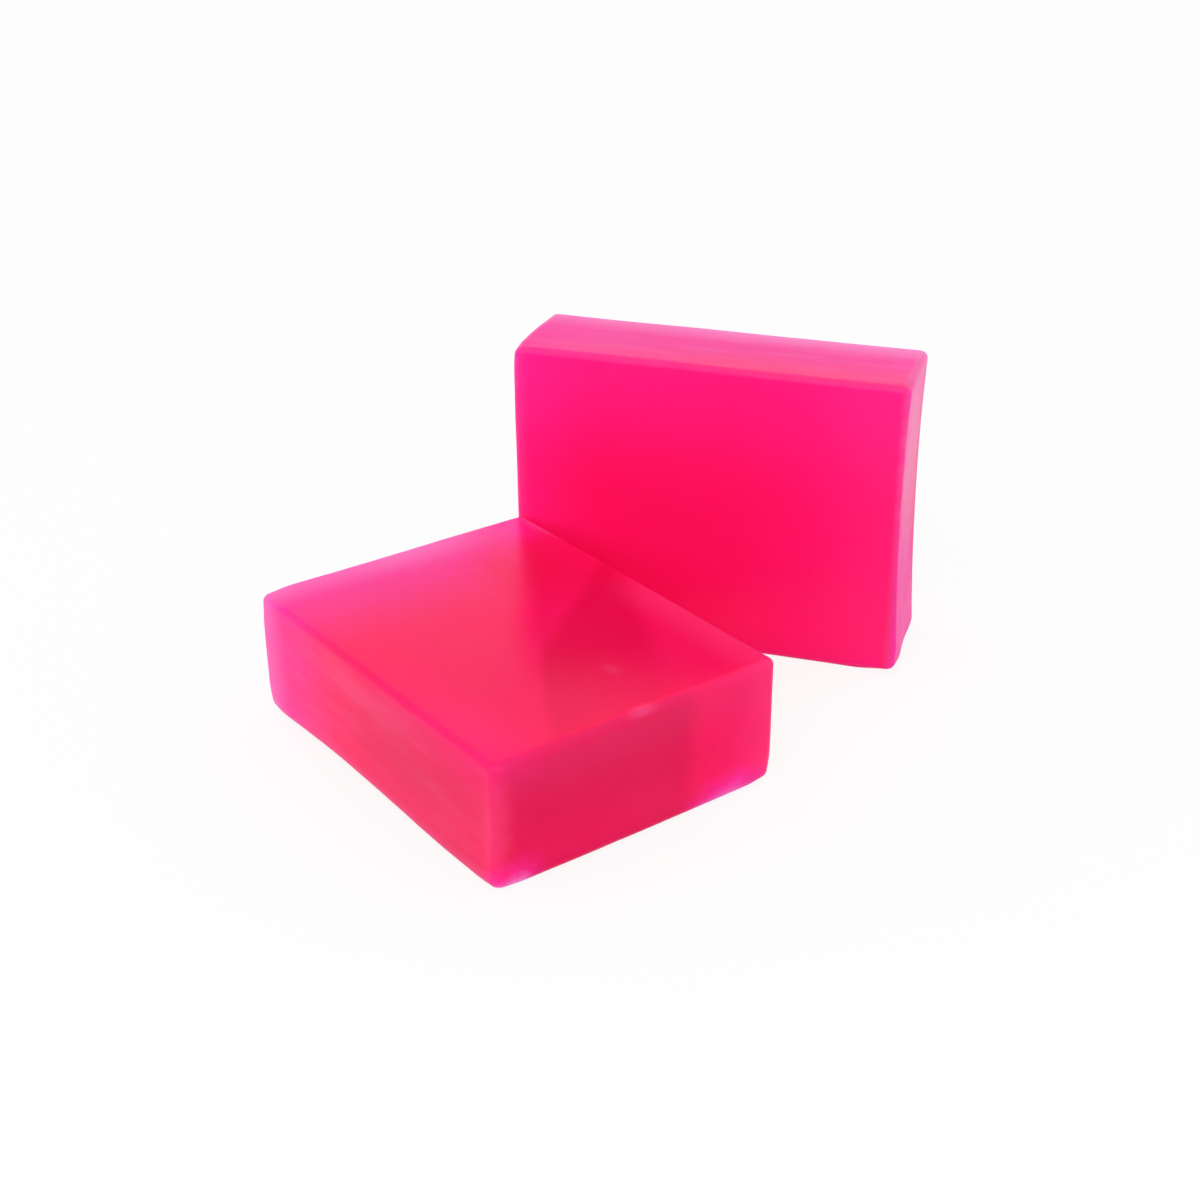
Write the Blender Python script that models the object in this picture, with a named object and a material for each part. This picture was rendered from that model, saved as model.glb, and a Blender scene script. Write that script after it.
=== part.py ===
"""A pair of rectangular soap bars: one lies flat and the other stands on its long edge behind it.

Both bars are the same casting: a rectangular block with soft corners, a rolled edge round the
face that lay on the mould's floor, and a crisper edge round the face it was poured through.
The lying bar's underside is centred on the origin and its length runs along X. The upright bar
stands clear behind the lying bar's rear left corner, turned so that a wedge opens between them.
"""

import math

import bmesh
import bpy
from mathutils import Vector

# Driving dimensions, in metres

BAR_LENGTH = 0.080
BAR_WIDTH = 0.0615
BAR_THICKNESS = 0.025

CORNER_RADIUS = 0.0020       # the four corners of the mould's cavity, seen from above
FLOOR_EDGE_RADIUS = 0.0015   # edge round the face that lay on the mould's floor
POUR_EDGE_RADIUS = 0.0007    # edge round the face that the soap was poured through

CORNER_GAP = 0.0003          # left between the lying bar's corner and the upright bar's face

# The angle between the two bars' lengths, in degrees

TURN_ANGLE = 35.4

# Facets in each rounding

CORNER_SEGMENTS = 8
EDGE_SEGMENTS = 6

# Finish of the dyed soap, read from the photograph

SOAP_COLOUR = (0.95, 0.02, 0.13, 1.0)
SOAP_ROUGHNESS = 0.18


def clear_scene():
    """Remove every object that the opened file holds."""
    for item in list(bpy.data.objects):
        bpy.data.objects.remove(item)


def soap_material(name):
    """Glossy dyed soap."""
    material = bpy.data.materials.new(name)
    material.use_nodes = True
    shader = material.node_tree.nodes["Principled BSDF"]
    shader.inputs["Base Color"].default_value = SOAP_COLOUR
    shader.inputs["Roughness"].default_value = SOAP_ROUGHNESS
    shader.inputs["Metallic"].default_value = 0.0
    return material


def runs_through(edge):
    """True for an edge that runs through the bar's thickness."""
    start, end = edge.verts
    return (end.co - start.co).normalized().z ** 2 > 0.5


def rim_edges(shape, face_normal):
    """The edges round the flat face that looks along face_normal."""
    flat_face = max(shape.faces, key=lambda face: (face.normal.dot(face_normal), face.calc_area()))
    return list(flat_face.edges)


def round_edges(shape, edges, radius, segments):
    """Roll the edges to the radius."""
    bmesh.ops.bevel(
        shape,
        geom=edges,
        offset=radius,
        offset_type="OFFSET",
        affect="EDGES",
        segments=segments,
        profile=0.5,
        clamp_overlap=True,
        material=-1,
    )


def cast_bar(name):
    """One soap bar: pour face on its own z = 0, length along X, width along Y."""
    shape = bmesh.new()
    bmesh.ops.create_cube(shape, size=1.0)
    bmesh.ops.translate(shape, verts=shape.verts, vec=(0.0, 0.0, 0.5))
    bmesh.ops.scale(shape, verts=shape.verts, vec=(BAR_LENGTH, BAR_WIDTH, BAR_THICKNESS))
    shape.normal_update()
    corners = [edge for edge in shape.edges if runs_through(edge)]
    round_edges(shape, corners, CORNER_RADIUS, CORNER_SEGMENTS)
    shape.normal_update()
    up = Vector((0.0, 0.0, 1.0))
    round_edges(shape, rim_edges(shape, up), FLOOR_EDGE_RADIUS, EDGE_SEGMENTS)
    shape.normal_update()
    round_edges(shape, rim_edges(shape, -up), POUR_EDGE_RADIUS, EDGE_SEGMENTS)
    mesh = bpy.data.meshes.new(name)
    shape.to_mesh(mesh)
    shape.free()
    mesh.shade_smooth()
    bar = bpy.data.objects.new(name, mesh)
    mesh.materials.append(soap_material(name + "_soap"))
    bpy.context.scene.collection.objects.link(bar)
    return bar


def stand_up(bar):
    """Stand the bar on its long edge, with its front face just clear of the lying bar's corner.

    The lying bar's rear left corner points at the spot where the upright bar's front face
    leaves its end rounding.
    """
    turn = math.radians(TURN_ANGLE)
    along = Vector((math.cos(turn), math.sin(turn), 0.0))
    backwards = Vector((-math.sin(turn), math.cos(turn), 0.0))
    corner_centre = Vector((CORNER_RADIUS - BAR_LENGTH / 2, BAR_WIDTH / 2 - CORNER_RADIUS, 0.0))
    front_face = corner_centre + backwards * (CORNER_RADIUS + CORNER_GAP)
    foot_centre = front_face + along * (BAR_LENGTH / 2 - CORNER_RADIUS)
    bar.rotation_euler = (math.pi / 2, 0.0, turn)
    bar.location = foot_centre + backwards * BAR_THICKNESS
    bar.location.z = BAR_WIDTH / 2


def main():
    clear_scene()
    cast_bar("lying_bar")
    stand_up(cast_bar("upright_bar"))


main()
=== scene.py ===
"""Dresses two melt-and-pour soap bars, one lying and one standing on its long edge, on a white stage."""

import math

import bmesh
import bpy
from bpy.props import FloatProperty, FloatVectorProperty, PointerProperty
from bpy.types import NodeSocket, Operator, Panel, PropertyGroup
from mathutils import Matrix, Vector, noise


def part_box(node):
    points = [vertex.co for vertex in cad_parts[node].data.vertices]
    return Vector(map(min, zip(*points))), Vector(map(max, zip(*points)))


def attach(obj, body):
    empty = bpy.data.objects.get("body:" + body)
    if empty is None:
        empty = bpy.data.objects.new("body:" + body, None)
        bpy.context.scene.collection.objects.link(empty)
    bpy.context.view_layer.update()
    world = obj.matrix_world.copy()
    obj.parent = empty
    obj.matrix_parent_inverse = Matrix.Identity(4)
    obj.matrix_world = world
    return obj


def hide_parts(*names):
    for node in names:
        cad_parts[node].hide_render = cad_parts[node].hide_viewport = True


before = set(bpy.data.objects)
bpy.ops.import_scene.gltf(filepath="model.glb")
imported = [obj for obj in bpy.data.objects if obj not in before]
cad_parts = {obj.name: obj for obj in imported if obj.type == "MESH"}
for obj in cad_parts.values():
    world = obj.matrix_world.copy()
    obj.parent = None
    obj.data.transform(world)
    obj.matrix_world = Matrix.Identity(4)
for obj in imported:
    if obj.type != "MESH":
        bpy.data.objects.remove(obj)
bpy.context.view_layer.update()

bl_info = {
    "name": "Soap Bar Pair",
    "version": (1, 0, 0),
    "blender": (4, 5, 0),
    "location": "3D View > Sidebar > Soap",
    "description": "Casts a lying and an upright bar of dyed translucent soap and lights them",
    "category": "Object",
}

MM = 0.001
LYING_LOW, LYING_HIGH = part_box("lying_bar")
UPRIGHT_LOW, UPRIGHT_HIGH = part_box("upright_bar")
BAR_SIZE = LYING_HIGH - LYING_LOW
LYING_CENTRE = (LYING_LOW + LYING_HIGH) / 2
UPRIGHT_CENTRE = (UPRIGHT_LOW + UPRIGHT_HIGH) / 2

# Detail of the mesh: steps round each kind of edge, and loops across the flat faces.
CORNER_STEPS, CAST_EDGE_STEPS, POUR_EDGE_STEPS = 10, 8, 6
LOOP_SPACING = 1.8 * MM
LOOP_MARGIN = 0.2 * MM
SAME_PLACE = 1e-7

# Unevenness of the set soap: a broad swell, a finer one with a share of its height, and a seed for each bar.
BROAD_SWELL, FINE_SWELL, FINE_SHARE = 22.0 * MM, 7.0 * MM, 0.3
LYING_SEED, UPRIGHT_SEED = 3, 11

# How sharply the shift of an end or an edge dies away towards the middle of a bar.
FADE_POWER = 4

# Skin of the soap: roughness from its clearest to its dullest, and the height of its ripples and grain.
GLOSSY, DULL = 0.20, 0.26
RIPPLE_HEIGHT, RIPPLE_STRENGTH, GRAIN_SHARE = 0.4 * MM, 0.25, 0.06

# Index of refraction of each bar's skin, below that of clear soap, so that the white room reflects weakly.
LYING_IOR, UPRIGHT_IOR = 1.185, 1.16

# Red light wanders furthest inside the soap.
SCATTER_BY_COLOUR = (1.0, 0.35, 0.5)

# A smudge of dye, painted light or painted shade: its ragged grain, the share of its reach that this takes,
# and where it starts and is full.
RAGGED_GRAIN, RAGGED_SHARE = 3.0 * MM, 0.5
SMUDGE_RIM, SMUDGE_CORE = 1.25, 0.35
BLACK = (0.0, 0.0, 0.0, 1.0)
WHITE = (1.0, 1.0, 1.0, 1.0)

# The floor is a hair below the bars, so that the two never lie in one plane.
FLOOR_HALF, FLOOR_DROP, FLOOR_ROUGHNESS = 4.0, 0.1 * MM, 0.9
SENSOR_WIDTH = 36.0
NEAREST_SEEN = 10.0 * MM


def size_property(name, description, default):
    """A length that the sidebar shows with its unit."""
    return FloatProperty(
        name=name, description=description, default=default, precision=5, subtype="DISTANCE", unit="LENGTH"
    )


def angle_property(name, description, degrees):
    """An angle that the sidebar shows in degrees."""
    return FloatProperty(
        name=name, description=description, default=math.radians(degrees), subtype="ANGLE", unit="ROTATION"
    )


def colour_property(name, description, default):
    """A linear colour with a swatch."""
    return FloatVectorProperty(
        name=name, description=description, default=default, size=3, min=0.0, max=1.0, subtype="COLOR"
    )


def share_property(name, description, default):
    """A number from nothing to all."""
    return FloatProperty(
        name=name, description=description, default=default, min=0.0, max=1.0, subtype="FACTOR"
    )


class SoapBarShape(PropertyGroup):
    """The casting that both bars share."""

    length: size_property("Length", "Long side of a bar", BAR_SIZE.x)
    width: size_property("Width", "Short side of a bar", BAR_SIZE.y)
    thickness: size_property("Thickness", "Depth of the poured soap", BAR_SIZE.z)
    turn: angle_property("Turn", "Angle between the lying bar and the upright bar", 35.4)
    corner_radius: size_property("Corner radius", "Rounding of the four mould corners", 1.7 * MM)
    cast_edge_radius: size_property("Cast edge radius", "Rounding round the mould's floor", 1.3 * MM)
    pour_edge_radius: size_property("Pour edge radius", "Rounding round the poured face", 1.4 * MM)
    face_sink: size_property("Face sink", "How far the cast face shrinks in as the soap sets", 0.30 * MM)
    pour_dish: size_property("Pour dish", "How far the poured face sinks inside its lip", 0.55 * MM)
    pour_lip: size_property("Pour lip", "Width of the lip round the poured face", 3.5 * MM)
    waviness: size_property("Waviness", "Unevenness of the set faces", 0.12 * MM)


class SoapDye(PropertyGroup):
    """Colours and clearness of the soap, with the painted light and shade laid over its dye."""

    deep: colour_property("Deep dye", "Dye seen through the thick of a bar", (0.985, 0.0058, 0.130))
    # Painted glow: pale pink laid where light comes in through the soap.
    pale: colour_property("Pale dye", "Dye near the walls that let the light in", (1.000, 0.026, 0.460))
    # Denser dye for mottles, and also painted shade.
    dense: colour_property("Dense dye", "Streak of dye that was stirred in last", (0.600, 0.001, 0.030))
    # Painted shade of the other bar, in red.
    ruby: colour_property("Ruby", "Dye in the shade of the other bar", (0.780, 0.004, 0.050))
    # Painted shade of an end or a side wall.
    plum: colour_property("Plum", "Dye seen through an end or a side wall", (0.600, 0.004, 0.085))
    # Wisps of base, and also painted sheen on the upright bar's right end.
    cloud: colour_property("Cloud", "Wisps of undissolved base", (1.000, 0.200, 0.340))
    # Painted shade on the rounded edges.
    rim: colour_property("Rim", "Rounded edges, which the light runs round", (0.450, 0.070, 0.220))
    # Dried bloom, and also painted sheen, highlights and glow on edges, lips, walls and feet.
    bloom: colour_property("Bloom", "Dried bloom on lips and worn edges", (1.000, 0.300, 0.680))
    glow_depth: size_property("Glow depth", "How far light wanders inside the soap", 8.0 * MM)


class SoapStage(PropertyGroup):
    """Floor, light and camera."""

    floor_colour: colour_property("Floor", "Colour of the floor", (0.92, 0.92, 0.92))
    floor_lift: share_property("Floor lift", "Share of plain white in the floor as the camera sees it", 0.86)
    sky_light: share_property("Sky light", "Level of the light from all around", 0.94)
    key_power: FloatProperty(
        name="Key power", description="Power of the soft lamp", default=1.3, subtype="POWER", unit="POWER"
    )
    key_azimuth: angle_property("Key azimuth", "Where the soft lamp stands", 40.0)
    key_elevation: angle_property("Key elevation", "Height angle of the soft lamp", 25.0)
    key_distance: size_property("Key distance", "From the soft lamp to the target", 700.0 * MM)
    key_size: size_property("Key size", "Side of the soft lamp", 500.0 * MM)
    camera_azimuth: angle_property("Camera azimuth", "Where the camera stands", 53.09)
    camera_elevation: angle_property("Camera elevation", "Height angle of the camera", 26.518)
    camera_distance: size_property("Camera distance", "From the camera to the target", 359.3 * MM)
    focal_length: FloatProperty(
        name="Focal length",
        description="Focal length of the camera",
        default=56.46,
        subtype="DISTANCE_CAMERA",
        unit="CAMERA",
    )
    target: FloatVectorProperty(
        name="Target",
        description="Point between the bars that the camera and the lamp face",
        default=(0.47 * MM, 20.66 * MM, 24.0 * MM),
        size=3,
        precision=5,
        subtype="TRANSLATION",
        unit="LENGTH",
    )


def put(tree, socket, value):
    """Links a node's output to a socket, or sets a plain value on it."""
    if isinstance(value, NodeSocket):
        tree.links.new(value, socket)
    else:
        socket.default_value = value


def maths(tree, operation, first, second=0.0, clamp=False):
    """One Math node on two values."""
    node = tree.nodes.new("ShaderNodeMath")
    node.operation = operation
    node.use_clamp = clamp
    put(tree, node.inputs[0], first)
    put(tree, node.inputs[1], second)
    return node.outputs["Value"]


def product(tree, first, *others):
    """Several values multiplied together."""
    for other in others:
        first = maths(tree, "MULTIPLY", first, other)
    return first


def vector_maths(tree, operation, first, second=(0.0, 0.0, 0.0)):
    """One Vector Math node on two vectors, and its outputs."""
    node = tree.nodes.new("ShaderNodeVectorMath")
    node.operation = operation
    put(tree, node.inputs[0], first)
    put(tree, node.inputs[1], second)
    return node.outputs


def ramp(tree, value, start, end, low=0.0, high=1.0):
    """A smooth step from low to high as value goes from start to end."""
    node = tree.nodes.new("ShaderNodeMapRange")
    node.interpolation_type = "SMOOTHSTEP"
    put(tree, node.inputs["Value"], value)
    put(tree, node.inputs["From Min"], start)
    put(tree, node.inputs["From Max"], end)
    put(tree, node.inputs["To Min"], low)
    put(tree, node.inputs["To Max"], high)
    return node.outputs["Result"]


def speckle(tree, vector, size, detail=2.0, roughness=0.5, distortion=0.0):
    """Soft noise whose patches are about size metres wide."""
    node = tree.nodes.new("ShaderNodeTexNoise")
    put(tree, node.inputs["Vector"], vector)
    put(tree, node.inputs["Scale"], 1.0 / size)
    put(tree, node.inputs["Detail"], detail)
    put(tree, node.inputs["Roughness"], roughness)
    put(tree, node.inputs["Distortion"], distortion)
    return node.outputs["Fac"]


def tint(tree, share, under, over):
    """One colour laid over another by a mask."""
    node = tree.nodes.new("ShaderNodeMix")
    node.data_type = "RGBA"
    put(tree, node.inputs["Factor"], share)
    colours = [socket for socket in node.inputs if socket.type == "RGBA"]
    put(tree, colours[0], under)
    put(tree, colours[1], over)
    return [socket for socket in node.outputs if socket.type == "RGBA"][0]


def new_group(name, takes, gives):
    """An empty shader group with named sockets, and its input and output nodes."""
    tree = bpy.data.node_groups.new(name, "ShaderNodeTree")
    for socket, kind in takes.items():
        tree.interface.new_socket(name=socket, in_out="INPUT", socket_type=kind)
    for socket in gives:
        tree.interface.new_socket(name=socket, in_out="OUTPUT", socket_type="NodeSocketFloat")
    return tree, tree.nodes.new("NodeGroupInput").outputs, tree.nodes.new("NodeGroupOutput").inputs


def use_group(tree, maker, **values):
    """Places the group that a maker builds, built once, in a material with its own values."""
    node = tree.nodes.new("ShaderNodeGroup")
    node.node_tree = bpy.data.node_groups.get(maker.__name__.removesuffix("_group")) or maker()
    for name, value in values.items():
        put(tree, node.inputs[name.replace("_", " ").title()], value)
    return node.outputs


def slope_group():
    """Mask that rises smoothly along a direction, from none at one depth to full at another."""
    takes = {
        "Point": "NodeSocketVector",
        "Direction": "NodeSocketVector",
        "Start": "NodeSocketFloat",
        "End": "NodeSocketFloat",
    }
    tree, given, out = new_group("slope", takes, ["Mask"])
    depth = vector_maths(tree, "DOT_PRODUCT", given["Point"], given["Direction"])["Value"]
    put(tree, out["Mask"], ramp(tree, depth, given["Start"], given["End"]))
    return tree


def cloudy_dye_group():
    """Masks of wisps where the base didn't quite dissolve, of a finer mottle and of thin streaks."""
    takes = {"Point": "NodeSocketVector"}
    tree, given, out = new_group("cloudy_dye", takes, ["Cloud", "Mottle", "Streaks"])
    drawn_out = vector_maths(tree, "MULTIPLY", given["Point"], (0.45, 1.0, 1.0))["Vector"]
    wisps = speckle(tree, drawn_out, 12.0 * MM, detail=2.0, roughness=0.45, distortion=0.3)
    put(tree, out["Cloud"], ramp(tree, wisps, 0.35, 0.7))
    mottle = speckle(tree, drawn_out, 6.0 * MM, detail=3.0, roughness=0.5)
    put(tree, out["Mottle"], ramp(tree, mottle, 0.3, 0.8))
    combed = vector_maths(tree, "MULTIPLY", given["Point"], (0.16, 1.0, 1.0))["Vector"]
    streaks = speckle(tree, combed, 2.6 * MM, detail=3.0, roughness=0.55, distortion=0.4)
    put(tree, out["Streaks"], ramp(tree, streaks, 0.42, 0.72))
    return tree


def cast_skin_group():
    """Roughness and height of a set soap face: slow ripples, a fine grain and duller smears."""
    takes = {"Point": "NodeSocketVector", "Glossy": "NodeSocketFloat", "Dull": "NodeSocketFloat"}
    tree, given, out = new_group("cast_skin", takes, ["Roughness", "Height"])
    smears = speckle(tree, given["Point"], 9.0 * MM, detail=3.0, roughness=0.65, distortion=0.5)
    put(tree, out["Roughness"], ramp(tree, smears, 0.3, 0.7, given["Glossy"], given["Dull"]))
    ripples = speckle(tree, given["Point"], 12.0 * MM, detail=1.0)
    grain = speckle(tree, given["Point"], 1.1 * MM, detail=2.0)
    put(tree, out["Height"], maths(tree, "ADD", ripples, product(tree, grain, GRAIN_SHARE)))
    return tree


def edge_shade_and_lip_group():
    """Masks of a thin, ragged line on every edge, for painted shade, and of a wider one on the poured face's
    lip, for bloom and painted sheen.
    """
    takes = {"Point": "NodeSocketVector", "Half Size": "NodeSocketVector"}
    tree, given, out = new_group("edge_shade_and_lip", takes, ["Edge", "Lip"])
    parts = []
    for source in (given["Point"], given["Half Size"]):
        node = tree.nodes.new("ShaderNodeSeparateXYZ")
        put(tree, node.inputs["Vector"], source)
        parts.append(node.outputs)
    place, half = parts
    gaps = [maths(tree, "SUBTRACT", half[axis], maths(tree, "ABSOLUTE", place[axis])) for axis in "XYZ"]
    nearest = maths(tree, "MINIMUM", gaps[0], gaps[1])
    farther = maths(tree, "MAXIMUM", gaps[0], gaps[1])
    to_edge = maths(tree, "MAXIMUM", nearest, maths(tree, "MINIMUM", farther, gaps[2]))
    ragged = product(tree, speckle(tree, given["Point"], 4.0 * MM, detail=3.0), 0.8 * MM)
    worn = maths(tree, "ADD", to_edge, ragged)
    put(tree, out["Edge"], ramp(tree, worn, 0.4 * MM, 2.0 * MM, 1.0, 0.0))
    above_pour = maths(tree, "ADD", half["Z"], place["Z"])
    lip = ramp(tree, maths(tree, "ADD", above_pour, ragged), 0.5 * MM, 5.0 * MM, 1.0, 0.0)
    put(tree, out["Lip"], product(tree, lip, ramp(tree, to_edge, 1.0 * MM, 5.0 * MM, 1.0, 0.0)))
    return tree


def half_size(shape):
    """Half the length, width and thickness of a bar."""
    return Vector((shape.length, shape.width, shape.thickness)) / 2


class SoapPaint:
    """The node tree of one bar's soap while it is put together.

    Places are in millimetres from the middle of the bar, along its length, its width and its thickness, where
    its ends, its sides and its faces lie at end, side and face.
    """

    def __init__(self, name, shape, dye, centre, turned):
        self.material = bpy.data.materials.new(name)
        self.material.use_nodes = True
        self.tree = self.material.node_tree
        self.tree.nodes.clear()
        self.half = half_size(shape)
        self.end, self.side, self.face = self.half / MM
        self.dye = dye
        where = self.tree.nodes.new("ShaderNodeTexCoord")
        place = self.tree.nodes.new("ShaderNodeMapping")
        place.vector_type = "TEXTURE"
        put(self.tree, place.inputs["Vector"], where.outputs["Object"])
        put(self.tree, place.inputs["Location"], centre)
        put(self.tree, place.inputs["Rotation"], turned)
        self.point = place.outputs["Vector"]
        self.colour = (*dye.deep, 1.0)

    def lay(self, share, colour):
        """Lays a colour over what is there by a mask."""
        self.colour = tint(self.tree, share, self.colour, (*colour, 1.0))

    def slope(self, direction, start, end):
        """Mask that rises along a direction between two depths."""
        depths = {"start": start * MM, "end": end * MM}
        return use_group(self.tree, slope_group, point=self.point, direction=direction, **depths)["Mask"]

    def layer(self, colour, strength, *slopes):
        """Lays a colour, at most strength thick, where every slope has risen."""
        masks = [self.slope(*each) for each in slopes]
        self.lay(product(self.tree, strength, *masks), colour)

    def smudge(self, colour, strength, place, reach):
        """Lays a soft oval patch of a colour round a place, with a reach along each side of the bar."""
        offset = vector_maths(self.tree, "SUBTRACT", self.point, Vector(place) * MM)["Vector"]
        shares = vector_maths(self.tree, "MULTIPLY", offset, [1.0 / (side * MM) for side in reach])["Vector"]
        away = vector_maths(self.tree, "LENGTH", shares)["Value"]
        ragged = product(self.tree, speckle(self.tree, self.point, RAGGED_GRAIN, detail=3.0), RAGGED_SHARE)
        edge = maths(self.tree, "ADD", away, ragged)
        self.lay(ramp(self.tree, edge, SMUDGE_RIM, SMUDGE_CORE, 0.0, strength), colour)

    def cloud_walls(self, wisps, mottle, streaks):
        """Clouds the walls, which are less clear than the cast face, and streaks the two long sides."""
        off_cast_face = self.slope((0.0, 0.0, -1.0), 0.5 - self.face, 3.0 - self.face)
        clouds = use_group(self.tree, cloudy_dye_group, point=self.point)
        self.lay(product(self.tree, clouds["Cloud"], wisps, off_cast_face), self.dye.cloud)
        self.lay(product(self.tree, clouds["Mottle"], mottle, off_cast_face), self.dye.dense)
        for long_side in ((0.0, 1.0, 0.0), (0.0, -1.0, 0.0)):
            on_side = self.slope(long_side, self.side - 2.5, self.side - 1.0)
            share = product(self.tree, clouds["Streaks"], streaks, off_cast_face, on_side)
            self.lay(share, self.dye.bloom)

    def finish_edges(self, edge, lip=0.0):
        """Paints shade along the rounded edges, and adds dried bloom with painted sheen on the poured lip
        where there is any.
        """
        masks = use_group(self.tree, edge_shade_and_lip_group, point=self.point, half_size=self.half)
        self.lay(product(self.tree, masks["Edge"], edge), self.dye.rim)
        if lip:
            self.lay(product(self.tree, masks["Lip"], lip), self.dye.bloom)

    def finish(self, ior, painted_light_mask, painted_light_level, frosted=None, frost=0.0):
        """Joins the colour and the skin to the shader.

        Painted light: the soap emits a little of its deep colour where the mask rises, for light coming
        through it, and it is duller on a frosted wall.
        """
        skin = use_group(self.tree, cast_skin_group, point=self.point, glossy=GLOSSY, dull=DULL)
        roughness = skin["Roughness"]
        if frosted:
            frosting = product(self.tree, self.slope(*frosted), frost)
            roughness = maths(self.tree, "ADD", roughness, frosting)
        bump = self.tree.nodes.new("ShaderNodeBump")
        put(self.tree, bump.inputs["Strength"], RIPPLE_STRENGTH)
        put(self.tree, bump.inputs["Distance"], RIPPLE_HEIGHT)
        put(self.tree, bump.inputs["Height"], skin["Height"])
        soap = self.tree.nodes.new("ShaderNodeBsdfPrincipled")
        settings = {
            "Base Color": self.colour,
            "Roughness": roughness,
            "Emission Color": tint(self.tree, self.slope(*painted_light_mask), BLACK, (*self.dye.deep, 1.0)),
            "Emission Strength": painted_light_level,
            "Normal": bump.outputs["Normal"],
            "IOR": ior,
            "Subsurface Weight": 1.0,
            "Subsurface Radius": SCATTER_BY_COLOUR,
            "Subsurface Scale": self.dye.glow_depth,
        }
        for name, value in settings.items():
            put(self.tree, soap.inputs[name], value)
        out = self.tree.nodes.new("ShaderNodeOutputMaterial")
        put(self.tree, out.inputs["Surface"], soap.outputs["BSDF"])
        return self.material


class LyingSoap(SoapPaint):
    """Lying bar's soap: painted glow at its far end, the upright bar's painted shade at the back of its top.
    """

    far, near = (-1.0, 0.0, 0.0), (1.0, 0.0, 0.0)
    left, right = (0.0, -1.0, 0.0), (0.0, 1.0, 0.0)
    down, up = (0.0, 0.0, -1.0), (0.0, 0.0, 1.0)

    def lay_body(self):
        """The dye through the whole bar, with a painted glow at the far end and painted shade towards the
        near end.
        """
        dye = self.dye
        # Painted glow at the far end, and painted shade towards the near end.
        self.layer(dye.pale, 0.54, (self.far, 8.0, self.end))
        self.layer(dye.dense, 0.20, (self.near, -25.0, 15.0))
        # Painted shade in red on the near half of the top.
        self.layer(dye.ruby, 0.13, (self.up, self.face - 1.5, self.face - 0.2), (self.near, -35.0, -5.0))
        self.cloud_walls(wisps=0.04, mottle=0.20, streaks=0.05)
        # Painted glow and sheen at the far end and over the far half of the top.
        self.layer(dye.bloom, 0.36, (self.far, 30.0, self.end), (self.left, -30.0, 0.0))
        self.layer(dye.bloom, 0.03, (self.far, 0.0, 30.0))
        self.smudge(dye.bloom, 0.14, (-38.0, 6.0, self.face), (12.0, 24.0, 6.0))
        self.smudge(dye.deep, 0.60, (-self.end - 1.0, 1.0, -1.5), (5.0, 34.0, 15.0))

    def lay_shade(self):
        """Painted shade of the upright bar on the top, a darker wedge of painted shade and reflection in it,
        and painted glow at the back edge.
        """
        dye = self.dye
        short_of_near_end = (self.far, -self.end, 2.0 - self.end)
        # Painted shade of the upright bar: deep dye over the painted glow, then denser dye.
        shaded = (short_of_near_end, ((0.521, 0.854, 0.0), 3.0, 6.5))
        self.layer(dye.deep, 0.85, *shaded)
        self.layer(dye.dense, 0.35, *shaded)
        # A darker wedge of painted shade and reflection of the upright bar.
        shade_wedge = (*shaded, ((0.798, 0.602, 0.0), 7.0, 11.0), ((-0.444, -0.896, 0.0), -27.5, -21.5))
        self.layer(dye.dense, 0.15, *shade_wedge)
        self.layer(dye.dense, 0.35, *shade_wedge, (self.far, -36.0, -14.0))
        # Painted shade in red, then painted glow and sheen along the back edge.
        self.smudge(dye.ruby, 0.50, (-17.0, 17.0, self.face), (20.0, 15.0, 6.0))
        self.smudge(dye.pale, 0.35, (-36.0, 27.0, self.face), (11.0, 8.0, 6.0))
        self.smudge(dye.bloom, 0.14, (-35.0, 30.5, self.face), (13.0, 3.0, 3.0))
        self.layer(dye.pale, 0.04, (self.right, 18.0, self.side), (self.near, -8.0, 6.0))
        self.layer(dye.bloom, 0.06, (self.right, 20.0, 31.0), (self.near, -8.0, 10.0))

    def lay_walls(self):
        """The near end, with painted shade, deeper on its left part, and the left side, with painted shade, a
        darker streak, a painted highlight and a painted glow at its foot.
        """
        dye = self.dye
        near_end = (self.near, self.end - 1.5, self.end)
        darker_part = (self.left, -14.0, -8.0)
        # Painted shade on the near end, deeper on its left part.
        self.layer(dye.plum, 0.18, near_end)
        self.layer(dye.plum, 0.50, near_end, darker_part)
        self.layer(dye.dense, 0.15, near_end, darker_part)
        # Painted edge shade on the upper near end, and a painted glow on its right part.
        self.layer(dye.rim, 0.13, near_end, (self.up, 1.0, 10.0))
        self.layer(dye.pale, 0.06, near_end, (self.right, 10.0, 25.0))
        left_side = (self.left, self.side - 1.75, self.side)
        # Painted shade on the left side, and a darker streak.
        self.layer(dye.plum, 0.40, left_side, (self.near, -30.0, 10.0))
        self.smudge(dye.dense, 0.07, (14.0, -self.side, -2.5), (22.0, 4.0, 7.0))
        # A painted highlight along the side's upper part, and a painted glow at its foot.
        self.smudge(dye.bloom, 0.06, (-3.0, -self.side, 6.5), (30.0, 3.0, 3.6))
        self.layer(dye.bloom, 0.14, left_side, (self.down, 8.5, self.face))

    def lay_bright_edges(self):
        """Painted highlights on the edges of the near end and the left side, a painted glow at the foot, two
        painted glints, and painted edge shade.
        """
        dye = self.dye
        # Painted highlights on the front vertical edge and along the front of the top.
        self.smudge(dye.bloom, 0.08, (self.end, -self.side, 0.0), (5.0, 5.0, 16.0))
        self.smudge(dye.pale, 0.10, (34.0, -29.0, self.face), (44.0, 13.0, 9.0))
        foot = -self.face - 0.5
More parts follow.
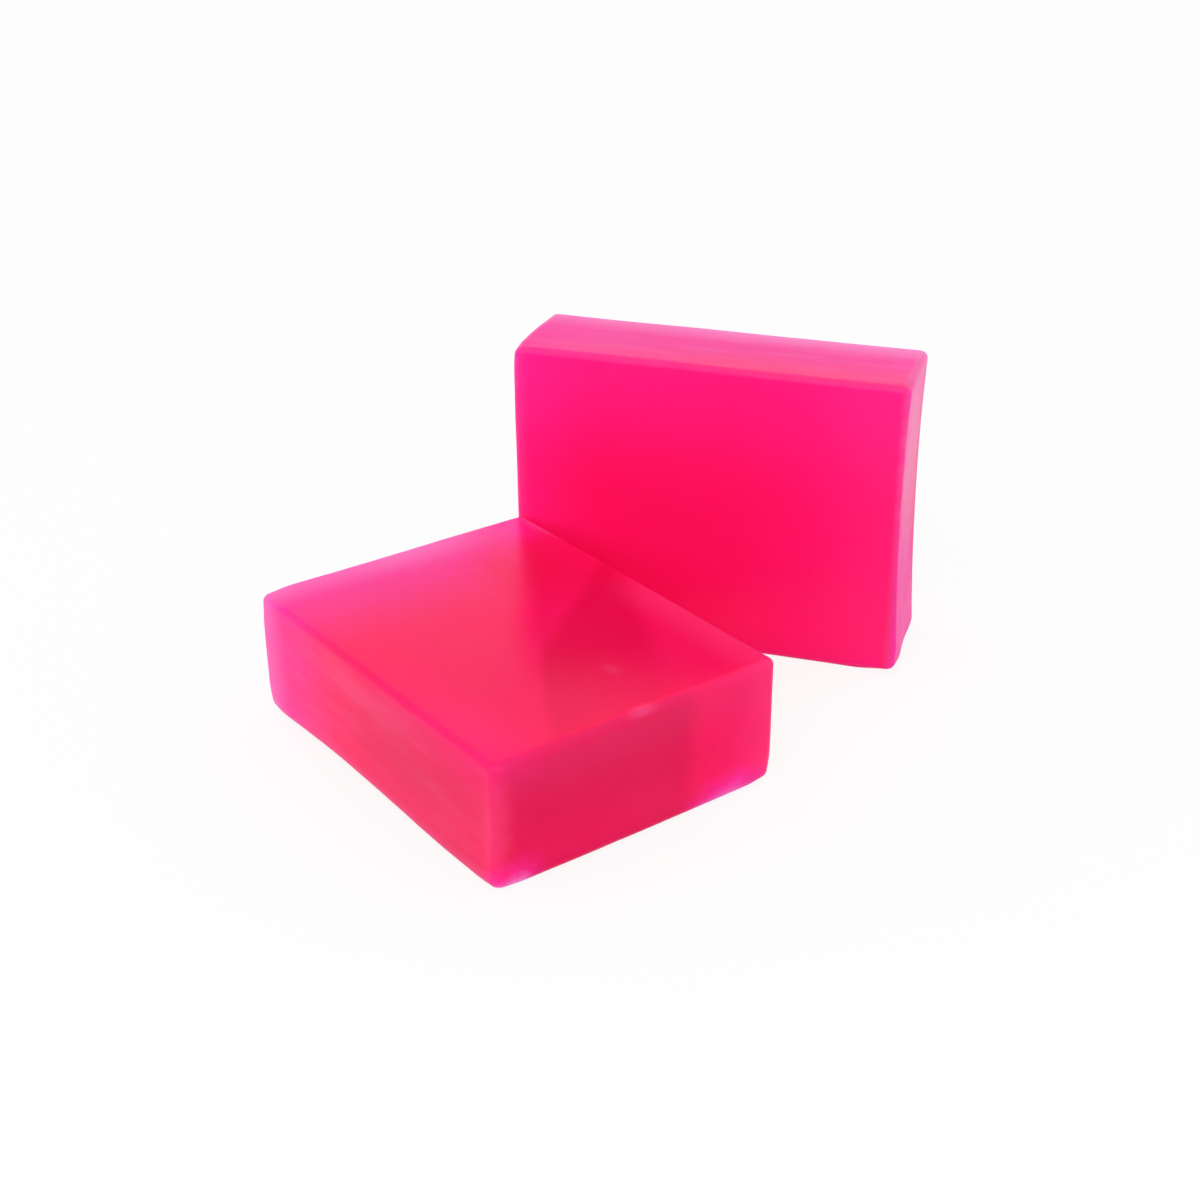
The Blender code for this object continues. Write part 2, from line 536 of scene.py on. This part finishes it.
        # Painted glow at the two feet of the near end, for light coming up from the floor.
        self.smudge(dye.pale, 0.70, (self.end, 21.0, foot), (6.0, 14.0, 8.0))
        self.smudge(dye.bloom, 0.34, (self.end, 20.0, foot), (4.0, 10.0, 4.0))
        self.smudge(dye.pale, 0.55, (self.end, -27.0, foot), (8.0, 9.0, 8.0))
        self.smudge(dye.bloom, 0.70, (self.end, -27.0, foot), (5.0, 5.0, 4.0))
        # Two painted glints on the top.
        self.smudge(dye.bloom, 0.14, (self.end, 0.5, self.face), (2.5, 4.0, 2.0))
        self.smudge(dye.bloom, 0.05, (25.0, 5.0, self.face), (3.5, 2.0, 2.0))
        self.finish_edges(edge=0.08)


class UprightSoap(SoapPaint):
    """Soap of the upright bar: painted glow towards its top edge and its two ends, bloom and painted sheen on
    its top.
    """

    left, right = (-1.0, 0.0, 0.0), (1.0, 0.0, 0.0)
    up = (0.0, 1.0, 0.0)
    back, front = (0.0, 0.0, -1.0), (0.0, 0.0, 1.0)

    def lay_body(self):
        """The dye through the whole bar, with a painted glow towards its top and its two ends."""
        dye = self.dye
        upper = (self.up, 0.0, self.side)
        # Painted glow towards the top and the two ends, with a painted sheen along each end.
        self.layer(dye.pale, 0.25, upper)
        self.layer(dye.pale, 0.12, upper, (self.left, -20.0, 20.0))
        self.layer(dye.pale, 0.25, (self.left, 20.0, self.end))
        self.layer(dye.pale, 0.16, (self.right, 0.0, self.end))
        self.layer(dye.bloom, 0.09, (self.left, self.end - 4.0, self.end - 0.5))
        self.layer(dye.bloom, 0.018, (self.right, 20.0, self.end))
        self.cloud_walls(wisps=0.03, mottle=0.10, streaks=0.12)

    def lay_top(self):
        """The long side on top: redder along its front, with painted glow and sheen along its back, deeper at
        its left.
        """
        dye = self.dye
        top = (self.up, self.side - 0.65, self.side - 0.05)
        self.layer(dye.deep, 0.35, top, (self.front, -2.0, 12.0))
        # Painted glow and painted sheen along the back of the top.
        self.layer(dye.pale, 0.40, top, (self.back, -10.0, 4.0))
        self.layer(dye.cloud, 0.04, top, (self.front, -2.0, 10.0), (self.right, -25.0, 10.0))
        self.layer(dye.bloom, 0.66, (self.up, self.side - 3.75, self.side), (self.back, 2.0, 13.0))
        left_part = (self.left, -10.0, 30.0)
        # Deeper dye, then a painted glow, over the left part of the top.
        self.layer(dye.deep, 0.40, top, left_part)
        self.layer(dye.pale, 0.30, top, left_part)

    def lay_right_end(self):
        """The right end, made pale with a painted sheen strongest near its top, and the edges."""
        dye = self.dye
        # Painted pale sheen over the right end, strongest near its top.
        self.layer(dye.pale, 0.45, (self.right, self.end - 0.5, self.end + 0.3))
        for colour, strength in ((dye.bloom, 0.31), (dye.cloud, 0.45)):
            self.smudge(colour, strength, (self.end, 18.0, 0.0), (2.0, 34.0, 17.0))
        self.finish_edges(edge=0.45, lip=0.05)


def lying_soap_material(shape, dye):
    """The lying bar's soap, with painted light: a weak emission near the floor."""
    soap = LyingSoap("lying_soap", shape, dye, LYING_CENTRE, (0.0, 0.0, 0.0))
    soap.lay_body()
    soap.lay_shade()
    soap.lay_walls()
    soap.lay_bright_edges()
    # Painted light: a weak glow over the floor, for light coming up through the soap.
    over_floor = (soap.down, 0.0, 9.0)
    return soap.finish(LYING_IOR, over_floor, painted_light_level=0.06)


def upright_soap_material(shape, dye):
    """The upright bar's soap, with painted light, a weak emission behind the lying bar, and a frosted right
    end.
    """
    soap = UprightSoap("upright_soap", shape, dye, UPRIGHT_CENTRE, (math.pi / 2, 0.0, shape.turn))
    soap.lay_body()
    soap.lay_top()
    soap.lay_right_end()
    # Painted light: a weak glow on the front behind the lying bar, lifting the shade between the bars.
    behind_lying_bar = ((-0.358, -0.933, 0.0), 2.0, 23.0)
    right_end = (soap.right, soap.end - 0.8, soap.end - 0.3)
    return soap.finish(UPRIGHT_IOR, behind_lying_bar, painted_light_level=0.12, frosted=right_end, frost=0.14)


def round_edges(block, edges, radius, steps):
    """Rounds some edges of a block."""
    bmesh.ops.bevel(
        block,
        geom=edges,
        offset=radius,
        offset_type="OFFSET",
        affect="EDGES",
        segments=steps,
        profile=0.5,
        clamp_overlap=True,
        material=-1,
    )
    block.normal_update()


def poured_block(shape):
    """The plain casting, poured face down on z = 0: mould corners, then the two rims."""
    block = bmesh.new()
    bmesh.ops.create_cube(block, size=1.0)
    bmesh.ops.translate(block, verts=block.verts, vec=(0.0, 0.0, 0.5))
    bmesh.ops.scale(block, verts=block.verts, vec=(shape.length, shape.width, shape.thickness))
    block.normal_update()
    middle = shape.thickness / 2
    corners = [edge for edge in block.edges if abs(edge.verts[0].co.z - edge.verts[1].co.z) > middle]
    round_edges(block, corners, shape.corner_radius, CORNER_STEPS)
    cast_face = max(block.faces, key=lambda face: face.normal.z * face.calc_area())
    round_edges(block, list(cast_face.edges), shape.cast_edge_radius, CAST_EDGE_STEPS)
    pour_face = min(block.faces, key=lambda face: face.normal.z * face.calc_area())
    round_edges(block, list(pour_face.edges), shape.pour_edge_radius, POUR_EDGE_STEPS)
    return block


def score(block, axis, start, end):
    """Cuts evenly spaced loops across a block, so that its flat faces can be shaped."""
    normal = Vector((0.0, 0.0, 0.0))
    normal[axis] = 1.0
    count = math.ceil((end - start) / LOOP_SPACING)
    for step in range(count + 1):
        place = normal * (start + (end - start) * step / count)
        everything = block.verts[:] + block.edges[:] + block.faces[:]
        bmesh.ops.bisect_plane(block, geom=everything, dist=SAME_PLACE, plane_co=place, plane_no=normal)


def fade(distance, reach):
    """1 at no distance, falling smoothly to 0 at reach."""
    left = max(0.0, 1.0 - distance / reach)
    return left * left * (3.0 - 2.0 * left)


def set_soap(block, shape, seed):
    """Shrinks, dishes and ripples a scored block as soap does when it sets."""
    noise.seed_set(seed)
    half = half_size(shape)
    for vert in block.verts:
        place = vert.co.copy()
        across, along_width, height = place.x / half.x, place.y / half.y, place.z / shape.thickness
        middle = (1.0 - across * across) * (1.0 - along_width * along_width)
        to_wall = min(half.x - abs(place.x), half.y - abs(place.y))
        dish = shape.pour_dish * (1.0 - fade(to_wall, shape.pour_lip))
        vert.co.z += dish * (1.0 - height) - shape.face_sink * middle * height
        vert.co += shape.waviness * noise.noise_vector(place / BROAD_SWELL)
        vert.co += shape.waviness * FINE_SHARE * noise.noise_vector(place / FINE_SWELL)


def press(block, place, pull, reach):
    """Pulls the soap near a place, as a thumb would, with the pull and its reach in millimetres."""
    for vert in block.verts:
        vert.co += Vector(pull) * MM * fade((vert.co - Vector(place)).length, reach * MM)


def bow_end(block, shape, side, out, lean, hollow, rake):
    """Moves one end of a bar out as a whole, with amounts in millimetres.

    The end also leans along the width, is hollow along its middle, and moves out more at the cast face.
    """
    half = half_size(shape)
    for vert in block.verts:
        near = max(0.0, side * vert.co.x / half.x) ** FADE_POWER
        across = vert.co.y / half.y
        bow = out + lean * across - hollow * (1.0 - across * across) + rake * vert.co.z / shape.thickness
        vert.co.x += side * near * bow * MM


def slump(block, shape, drop):
    """Lets the poured side of a bar's long top edge sink, by a drop in millimetres."""
    half = half_size(shape)
    for vert in block.verts:
        high = max(0.0, vert.co.y / half.y) ** FADE_POWER
        vert.co.y -= drop * MM * high * (1.0 - vert.co.z / shape.thickness)


def scored_block(shape, seed):
    """A casting with loops close enough to shape, already set."""
    block = poured_block(shape)
    inner = half_size(shape) - Vector.Fill(3, shape.corner_radius + LOOP_MARGIN)
    score(block, 0, -inner.x, inner.x)
    score(block, 1, -inner.y, inner.y)
    low = shape.pour_edge_radius + LOOP_MARGIN
    high = shape.thickness - shape.cast_edge_radius - LOOP_MARGIN
    score(block, 2, low, high)
    set_soap(block, shape, seed)
    return block


def finished_bar(context, name, block, placing, material):
    """Puts a shaped block in its place as an object."""
    bmesh.ops.transform(block, matrix=placing, verts=block.verts)
    for vert in block.verts:
        vert.co.z = max(vert.co.z, 0.0)
    bmesh.ops.recalc_face_normals(block, faces=block.faces)
    mesh = bpy.data.meshes.new(name)
    block.to_mesh(mesh)
    block.free()
    mesh.shade_smooth()
    mesh.materials.append(material)
    bar = bpy.data.objects.new(name, mesh)
    context.scene.collection.objects.link(bar)
    return bar


class SOAP_OT_lying_bar(Operator):
    """Cast the bar that lies flat, poured face down"""

    bl_idname = "soap.lying_bar"
    bl_label = "Lying bar"

    def execute(self, context):
        shape = context.scene.soap_bar_shape
        half = half_size(shape)
        block = scored_block(shape, LYING_SEED)
        press(block, (-half.x, -half.y, 0.0), (0.3, 0.3, 0.5), 6.0)
        press(block, (-0.3 * half.x, -half.y, 0.0), (0.0, 0.4, 0.5), 36.0)
        press(block, (-half.x, -half.y, shape.thickness), (0.2, 0.2, -0.45), 7.0)
        press(block, (half.x, -0.3 * half.y, 0.0), (0.2, 0.0, 0.0), 30.0)
        press(block, (half.x, -half.y, 0.0), (-0.2, 0.2, 0.2), 6.0)
        press(block, (half.x, half.y, 0.0), (-0.3, -0.3, 0.3), 6.0)
        material = lying_soap_material(shape, context.scene.soap_dye)
        bar = finished_bar(context, "lying_soap", block, Matrix.Identity(4), material)
        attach(bar, "lying_bar")
        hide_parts("lying_bar")
        return {"FINISHED"}


class SOAP_OT_upright_bar(Operator):
    """Cast the bar that stands on its long edge, cast face to the front"""

    bl_idname = "soap.upright_bar"
    bl_label = "Upright bar"

    def execute(self, context):
        shape = context.scene.soap_bar_shape
        half = half_size(shape)
        block = scored_block(shape, UPRIGHT_SEED)
        bow_end(block, shape, side=1.0, out=0.55, lean=-0.60, hollow=0.92, rake=0.6)
        bow_end(block, shape, side=-1.0, out=-0.35, lean=0.20, hollow=0.0, rake=0.0)
        slump(block, shape, 0.4)
        press(block, (half.x, -half.y, shape.thickness), (-0.6, 0.6, 0.0), 7.0)
        press(block, (-half.x, half.y, half.z), (-0.2, 0.2, 0.0), 12.0)
        press(block, (half.x, -half.y, half.z), (-0.3, 0.3, 0.0), 10.0)
        press(block, (-half.x, half.y, shape.thickness), (0.3, -0.3, 0.0), 5.0)
        to_back = Vector((-math.sin(shape.turn), math.cos(shape.turn), 0.0))
        placing = Matrix.Translation(UPRIGHT_CENTRE + to_back * shape.thickness / 2)
        placing = placing @ Matrix.Rotation(shape.turn, 4, "Z") @ Matrix.Rotation(math.pi / 2, 4, "X")
        material = upright_soap_material(shape, context.scene.soap_dye)
        bar = finished_bar(context, "upright_soap", block, placing, material)
        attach(bar, "upright_bar")
        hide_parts("upright_bar")
        return {"FINISHED"}


def seen_directly(tree):
    """1 for what the camera, a reflection or the clear soap sees, and 0 for plain light."""
    path = tree.nodes.new("ShaderNodeLightPath").outputs
    seen = maths(tree, "ADD", path["Is Camera Ray"], path["Is Glossy Ray"])
    return maths(tree, "ADD", seen, path["Is Transmission Ray"], clamp=True)


def white_room(context, stage):
    """White all around, a little dimmer as light than as backdrop."""
    world = bpy.data.worlds.new("white_room")
    context.scene.world = world
    world.use_nodes = True
    tree = world.node_tree
    tree.nodes.clear()
    background = tree.nodes.new("ShaderNodeBackground")
    put(tree, background.inputs["Color"], WHITE)
    lift = product(tree, seen_directly(tree), 1.0 - stage.sky_light)
    put(tree, background.inputs["Strength"], maths(tree, "ADD", lift, stage.sky_light))
    out = tree.nodes.new("ShaderNodeOutputWorld")
    put(tree, out.inputs["Surface"], background.outputs["Background"])


def white_floor_material(stage):
    """White paper, lifted to plain white where it is seen directly."""
    material = bpy.data.materials.new("white_floor")
    material.use_nodes = True
    tree = material.node_tree
    tree.nodes.clear()
    paper = tree.nodes.new("ShaderNodeBsdfPrincipled")
    put(tree, paper.inputs["Base Color"], (*stage.floor_colour, 1.0))
    put(tree, paper.inputs["Roughness"], FLOOR_ROUGHNESS)
    put(tree, paper.inputs["Specular IOR Level"], 0.0)
    white = tree.nodes.new("ShaderNodeEmission")
    put(tree, white.inputs["Strength"], 1.0)
    lifted = tree.nodes.new("ShaderNodeMixShader")
    put(tree, lifted.inputs["Fac"], product(tree, seen_directly(tree), stage.floor_lift))
    put(tree, lifted.inputs[1], paper.outputs["BSDF"])
    put(tree, lifted.inputs[2], white.outputs["Emission"])
    out = tree.nodes.new("ShaderNodeOutputMaterial")
    put(tree, out.inputs["Surface"], lifted.outputs["Shader"])
    return material


def white_floor(context, stage):
    """A wide plain floor that keeps the bars' shadows."""
    sheet = bmesh.new()
    bmesh.ops.create_grid(sheet, x_segments=1, y_segments=1, size=FLOOR_HALF)
    bmesh.ops.translate(sheet, verts=sheet.verts, vec=(0.0, 0.0, -FLOOR_DROP))
    mesh = bpy.data.meshes.new("floor")
    sheet.to_mesh(mesh)
    sheet.free()
    mesh.materials.append(white_floor_material(stage))
    floor = bpy.data.objects.new("floor", mesh)
    context.scene.collection.objects.link(floor)


def towards(azimuth, elevation):
    """Unit vector from the target to where a lamp or a camera stands."""
    level = math.cos(elevation)
    return Vector((math.sin(azimuth) * level, -math.cos(azimuth) * level, math.sin(elevation)))


def aim(context, name, data, target, direction, distance):
    """Stands a lamp or a camera off a target and points it there."""
    thing = bpy.data.objects.new(name, data)
    context.scene.collection.objects.link(thing)
    thing.location = target + direction * distance
    thing.rotation_euler = direction.to_track_quat("Z", "Y").to_euler()
    return thing


class SOAP_OT_stage(Operator):
    """Set the white floor, the soft light and the camera"""

    bl_idname = "soap.stage"
    bl_label = "Stage"

    def execute(self, context):
        stage = context.scene.soap_stage
        target = Vector(stage.target)
        context.scene.view_settings.view_transform = "Standard"
        white_room(context, stage)
        white_floor(context, stage)
        key = bpy.data.lights.new("key", "AREA")
        key.energy = stage.key_power
        key.size = stage.key_size
        direction = towards(stage.key_azimuth, stage.key_elevation)
        aim(context, "key", key, target, direction, stage.key_distance)
        lens = bpy.data.cameras.new("camera")
        lens.sensor_width = SENSOR_WIDTH
        lens.lens = stage.focal_length
        lens.clip_start = NEAREST_SEEN
        direction = towards(stage.camera_azimuth, stage.camera_elevation)
        context.scene.camera = aim(context, "camera", lens, target, direction, stage.camera_distance)
        return {"FINISHED"}


class SOAP_PT_bars(Panel):
    """Sizes, colours and steps of the soap bar pair"""

    bl_label = "Soap bars"
    bl_idname = "SOAP_PT_bars"
    bl_space_type = "VIEW_3D"
    bl_region_type = "UI"
    bl_category = "Soap"

    def draw(self, context):
        column = self.layout.column()
        for settings in (context.scene.soap_bar_shape, context.scene.soap_dye, context.scene.soap_stage):
            for name in settings.__annotations__:
                column.prop(settings, name)
        for step in STEPS:
            column.operator(step.bl_idname)


STEPS = (SOAP_OT_lying_bar, SOAP_OT_upright_bar, SOAP_OT_stage)
SETTINGS = {"soap_bar_shape": SoapBarShape, "soap_dye": SoapDye, "soap_stage": SoapStage}


def register():
    """Registers the settings, the steps and the panel."""
    for each in (*SETTINGS.values(), *STEPS, SOAP_PT_bars):
        bpy.utils.register_class(each)
    for name, group in SETTINGS.items():
        setattr(bpy.types.Scene, name, PointerProperty(type=group))


def unregister():
    """Takes the settings, the steps and the panel out again."""
    for name in SETTINGS:
        delattr(bpy.types.Scene, name)
    for each in reversed((*SETTINGS.values(), *STEPS, SOAP_PT_bars)):
        bpy.utils.unregister_class(each)


def main():
    """Builds the bars and the stage."""
    register()
    bpy.ops.soap.lying_bar()
    bpy.ops.soap.upright_bar()
    bpy.ops.soap.stage()


if __name__ == "__main__":
    main()
